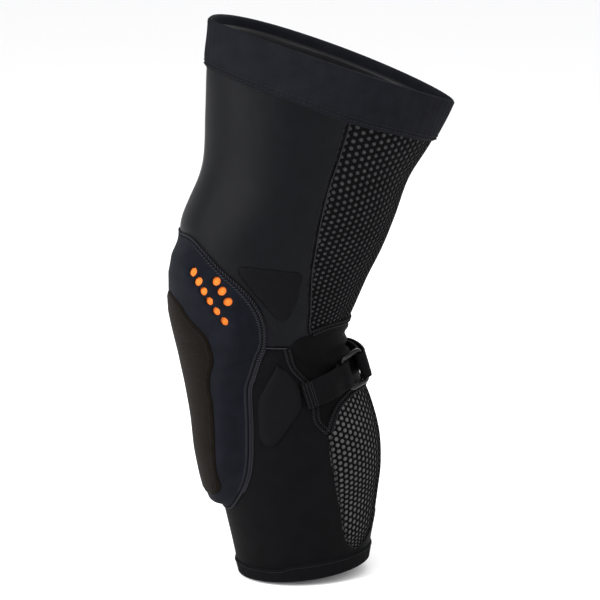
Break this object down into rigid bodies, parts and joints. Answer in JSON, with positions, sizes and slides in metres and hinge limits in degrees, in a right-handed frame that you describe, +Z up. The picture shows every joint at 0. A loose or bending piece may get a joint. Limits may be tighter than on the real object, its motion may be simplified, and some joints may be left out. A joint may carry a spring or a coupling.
{
  "type": "knee guard",
  "caption": "Pull-on knee guard sleeve with a foam knee pad behind a perforated cover, side pads, mesh rear panels and a rear strap with a ring.",
  "frame": {"origin": "knee centre inside the sleeve, on the axis about which it bends", "axes": "+Z up the leg, -Y towards the front of the knee, +X towards the outer side of the left leg"},
  "size_m": [0.122, 0.2128, 0.4266],
  "materials": {
    "elastic_band": "ribbed matte black elastic with twin needle stitching",
    "stretch_fabric": "satin black-navy stretch jersey with a soft sheen",
    "mesh_fabric": "open warp-knit mesh, black with a grey backing seen through the cells",
    "pit_fabric": "thin matte stretch fabric that wrinkles behind the knee",
    "cover_fabric": "woven blue-black stretch fabric",
    "foam": "orange closed-cell foam",
    "liner_fabric": "brushed black lining",
    "abrasion_fabric": "dark brown abrasion-resistant synthetic",
    "side_pad_rubber": "satin moulded pad with stitched edge ribs",
    "binding_tape": "flatlock seam tape with contrast stitches",
    "silicone": "soft satin silicone",
    "webbing": "woven flat webbing",
    "ring_plastic": "glossy moulded black plastic",
    "hook_and_loop": "hook and loop fastener"
  },
  "bodies": {
    "thigh": {"thigh_cuff": "elastic_band", "cuff_gripper": "silicone", "thigh_front_panel": "stretch_fabric", "thigh_rear_mesh": "mesh_fabric", "upper_outer_side_pad": "side_pad_rubber", "upper_inner_side_pad": "side_pad_rubber", "knee_pad": "foam", "pad_cover": "cover_fabric", "pad_liner": "liner_fabric", "cover_binding": "binding_tape", "abrasion_panel": "abrasion_fabric", "knee_pit_panel": "pit_fabric"},
    "shin": {"shin_panel": "stretch_fabric", "calf_rear_mesh": "mesh_fabric", "lower_outer_side_pad": "side_pad_rubber", "lower_inner_side_pad": "side_pad_rubber", "calf_hem": "elastic_band", "hem_gripper": "silicone", "strap_anchor_outer": "webbing", "strap_band": "webbing", "strap_loop_field": "hook_and_loop"},
    "ring": {"strap_ring": "ring_plastic"},
    "tail": {"strap_tail": "webbing", "strap_hook_tab": "hook_and_loop"}
  },
  "joints": [
    {"name": "knee_bend", "type": "hinge", "parent": "thigh", "child": "shin", "pos_m": [0, 0, 0], "axis": [1, 0, 0], "range_deg": [-22, 60], "stiffness_Nm_per_rad": 1, "deforming": ["knee_pad", "pad_cover", "pad_liner", "cover_binding", "abrasion_panel", "knee_pit_panel", "thigh_rear_mesh", "strap_band", "strap_loop_field"]},
    {"name": "ring_swivel", "type": "hinge", "parent": "shin", "child": "ring", "pos_m": [0.0385, 0.04884, -0.02675], "axis": [0, 0.2874, -0.9578], "range_deg": [0, 25]},
    {"name": "tail_peel", "type": "hinge", "parent": "ring", "child": "tail", "pos_m": [0.03, 0.06455, -0.02203], "axis": [0, 0.2874, -0.9578], "range_deg": [0, 100]}
  ]
}
